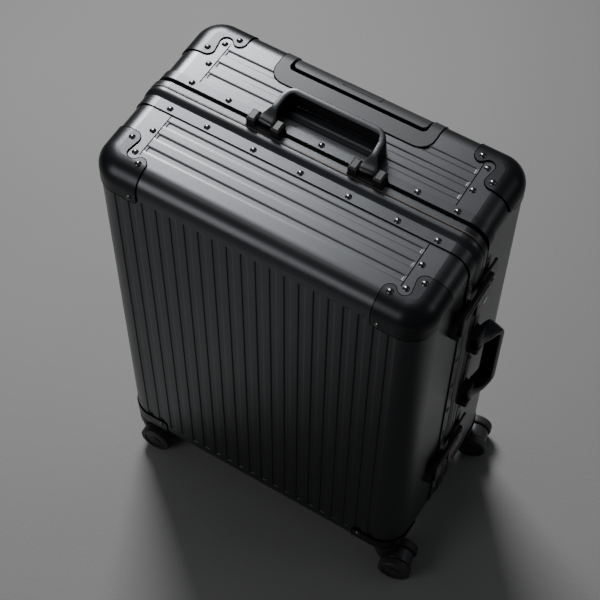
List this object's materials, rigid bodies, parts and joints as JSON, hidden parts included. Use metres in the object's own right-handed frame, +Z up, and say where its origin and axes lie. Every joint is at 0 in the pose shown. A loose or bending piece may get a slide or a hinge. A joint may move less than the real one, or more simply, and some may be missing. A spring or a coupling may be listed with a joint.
{
  "type": "hard shell suitcase",
  "caption": "Upright aluminium-frame hard-shell suitcase with ribbed metal shells, riveted corners, folding carry handles, latches, telescopic trolley and swivelling twin casters.",
  "frame": {"origin": "on the floor under the middle of the closed case, at its parting plane", "axes": "+Z up, +X towards the locks, -Y towards the lid, +Y towards the trolley"},
  "size_m": [0.4913, 0.2894, 0.716],
  "materials": {
    "shell_sheet": "black anodised, fine satin",
    "frame_profile": "black anodised, brushed lengthwise",
    "corner_metal": "satin black",
    "rivet_metal": "gloss black domes",
    "lining_cloth": "woven polyester lining",
    "strap_web": "woven webbing",
    "dark_steel": "blackened steel",
    "black_rubber": "matt rubber",
    "wheel_tyre": "smooth polyurethane",
    "black_plastic": "moulded",
    "satin_plastic": "satin moulded",
    "tube_metal": "anodised, drawn",
    "handle_plastic": "satin black",
    "dial_plastic": "numbered wheels",
    "bright_steel": "polished",
    "indicator_red": "plain disc",
    "lock_metal": "satin graphite",
    "latch_metal": "satin black"
  },
  "bodies": {
    "case": {"rear_shell": "shell_sheet", "rear_side_sheets": "shell_sheet", "rear_frame": "frame_profile", "rear_corners": "corner_metal", "rear_rivets": "rivet_metal", "rear_lining": "lining_cloth", "rear_straps": "strap_web", "rear_hinge_leaves": "dark_steel", "hinge_pins": "dark_steel", "rear_side_feet": "black_rubber", "rear_caster_sockets": "black_plastic", "frame_seal": "black_rubber", "trolley_bezel": "satin_plastic", "trolley_outer_tubes": "tube_metal", "trolley_foot": "black_plastic", "top_handle_mounts": "handle_plastic", "side_handle_mounts": "handle_plastic", "handle_pins": "dark_steel", "lock_plates": "lock_metal", "lock_indicators": "indicator_red"},
    "lid": {"front_shell": "shell_sheet", "front_side_sheets": "shell_sheet", "front_frame": "frame_profile", "front_corners": "corner_metal", "front_rivets": "rivet_metal", "front_lining": "lining_cloth", "front_straps": "strap_web", "front_hinge_leaves": "dark_steel", "front_side_feet": "black_rubber", "front_caster_sockets": "black_plastic", "latch_keepers": "latch_metal"},
    "trolley_middle": {"trolley_middle_tubes": "tube_metal"},
    "trolley_top": {"trolley_inner_tubes": "tube_metal", "trolley_grip": "satin_plastic"},
    "trolley_button": {"trolley_button": "satin_plastic"},
    "top_handle": {"top_handle": "handle_plastic"},
    "side_handle": {"side_handle": "handle_plastic"},
    "upper_latch": {"upper_latch": "latch_metal"},
    "upper_key": {"upper_key_cylinder": "bright_steel"},
    "upper_dial_1": {"upper_dial_1": "dial_plastic"},
    "upper_dial_2": {"upper_dial_2": "dial_plastic"},
    "upper_dial_3": {"upper_dial_3": "dial_plastic"},
    "lower_latch": {"lower_latch": "latch_metal"},
    "lower_key": {"lower_key_cylinder": "bright_steel"},
    "lower_dial_1": {"lower_dial_1": "dial_plastic"},
    "lower_dial_2": {"lower_dial_2": "dial_plastic"},
    "lower_dial_3": {"lower_dial_3": "dial_plastic"},
    "front_right_caster": {"front_right_fork": "black_plastic", "front_right_axle": "dark_steel"},
    "front_right_wheels": {"front_right_wheels": "wheel_tyre"},
    "rear_right_caster": {"rear_right_fork": "black_plastic", "rear_right_axle": "dark_steel"},
    "rear_right_wheels": {"rear_right_wheels": "wheel_tyre"},
    "front_left_caster": {"front_left_fork": "black_plastic", "front_left_axle": "dark_steel"},
    "front_left_wheels": {"front_left_wheels": "wheel_tyre"},
    "rear_left_caster": {"rear_left_fork": "black_plastic", "rear_left_axle": "dark_steel"},
    "rear_left_wheels": {"rear_left_wheels": "wheel_tyre"}
  },
  "joints": [
    {"name": "lid_hinge", "type": "hinge", "parent": "case", "child": "lid", "pos_m": [-0.233, 0, 0.3715], "axis": [0, 0, -1], "range_deg": [0, 105]},
    {"name": "trolley_middle_slide", "type": "slide", "parent": "case", "child": "trolley_middle", "axis": [0, 0, 1], "range_m": [0, 0.2]},
    {"name": "trolley_top_slide", "type": "slide", "parent": "trolley_middle", "child": "trolley_top", "axis": [0, 0, 1], "range_m": [0, 0.2]},
    {"name": "trolley_button_press", "type": "slide", "parent": "trolley_top", "child": "trolley_button", "axis": [0, 0, -1], "range_m": [0, 0.003], "stiffness_N_per_m": 400},
    {"name": "top_handle_hinge", "type": "hinge", "parent": "case", "child": "top_handle", "pos_m": [0, 0.0115, 0.703], "axis": [1, 0, 0], "range_deg": [0, 95]},
    {"name": "side_handle_hinge", "type": "hinge", "parent": "case", "child": "side_handle", "pos_m": [0.2365, 0.0115, 0.4065], "axis": [0, 0, -1], "range_deg": [-6, 76]},
    {"name": "upper_latch_hinge", "type": "hinge", "parent": "case", "child": "upper_latch", "pos_m": [0.2355, 0.016, 0.6075], "axis": [-1, 0, 0], "range_deg": [0, 50]},
    {"name": "upper_key_turn", "type": "hinge", "parent": "case", "child": "upper_key", "pos_m": [0.2325, 0.022, 0.5505], "axis": [1, 0, 0], "range_deg": [0, 90]},
    {"name": "upper_dial_1_turn", "type": "hinge", "parent": "case", "child": "upper_dial_1", "pos_m": [0.2275, 0.028, 0.5785], "axis": [0, 1, 0], "continuous": true},
    {"name": "upper_dial_2_turn", "type": "hinge", "parent": "case", "child": "upper_dial_2", "pos_m": [0.2275, 0.033, 0.5785], "axis": [0, 1, 0], "continuous": true},
    {"name": "upper_dial_3_turn", "type": "hinge", "parent": "case", "child": "upper_dial_3", "pos_m": [0.2275, 0.038, 0.5785], "axis": [0, 1, 0], "continuous": true},
    {"name": "lower_latch_hinge", "type": "hinge", "parent": "case", "child": "lower_latch", "pos_m": [0.2355, 0.016, 0.2225], "axis": [-1, 0, 0], "range_deg": [0, 50]},
    {"name": "lower_key_turn", "type": "hinge", "parent": "case", "child": "lower_key", "pos_m": [0.2325, 0.022, 0.1655], "axis": [1, 0, 0], "range_deg": [0, 90]},
    {"name": "lower_dial_1_turn", "type": "hinge", "parent": "case", "child": "lower_dial_1", "pos_m": [0.2275, 0.028, 0.1935], "axis": [0, 1, 0], "continuous": true},
    {"name": "lower_dial_2_turn", "type": "hinge", "parent": "case", "child": "lower_dial_2", "pos_m": [0.2275, 0.033, 0.1935], "axis": [0, 1, 0], "continuous": true},
    {"name": "lower_dial_3_turn", "type": "hinge", "parent": "case", "child": "lower_dial_3", "pos_m": [0.2275, 0.038, 0.1935], "axis": [0, 1, 0], "continuous": true},
    {"name": "front_right_swivel", "type": "hinge", "parent": "lid", "child": "front_right_caster", "pos_m": [0.204, -0.116, 0.04], "axis": [0, 0, 1], "continuous": true},
    {"name": "front_right_roll", "type": "hinge", "parent": "front_right_caster", "child": "front_right_wheels", "pos_m": [0.22454, -0.11163, 0.024], "axis": [-0.2079, 0.9781, 0], "continuous": true},
    {"name": "rear_right_swivel", "type": "hinge", "parent": "case", "child": "rear_right_caster", "pos_m": [0.204, 0.116, 0.04], "axis": [0, 0, 1], "continuous": true},
    {"name": "rear_right_roll", "type": "hinge", "parent": "rear_right_caster", "child": "rear_right_wheels", "pos_m": [0.22438, 0.12108, 0.024], "axis": [-0.2419, 0.9703, 0], "continuous": true},
    {"name": "front_left_swivel", "type": "hinge", "parent": "lid", "child": "front_left_caster", "pos_m": [-0.204, -0.116, 0.04], "axis": [0, 0, 1], "continuous": true},
    {"name": "front_left_roll", "type": "hinge", "parent": "front_left_caster", "child": "front_left_wheels", "pos_m": [-0.18305, -0.11453, 0.024], "axis": [-0.0698, 0.9976, 0], "continuous": true},
    {"name": "rear_left_swivel", "type": "hinge", "parent": "case", "child": "rear_left_caster", "pos_m": [-0.204, 0.116, 0.04], "axis": [0, 0, 1], "continuous": true},
    {"name": "rear_left_roll", "type": "hinge", "parent": "rear_left_caster", "child": "rear_left_wheels", "pos_m": [-0.1832, 0.11892, 0.024], "axis": [-0.1392, 0.9903, 0], "continuous": true}
  ]
}
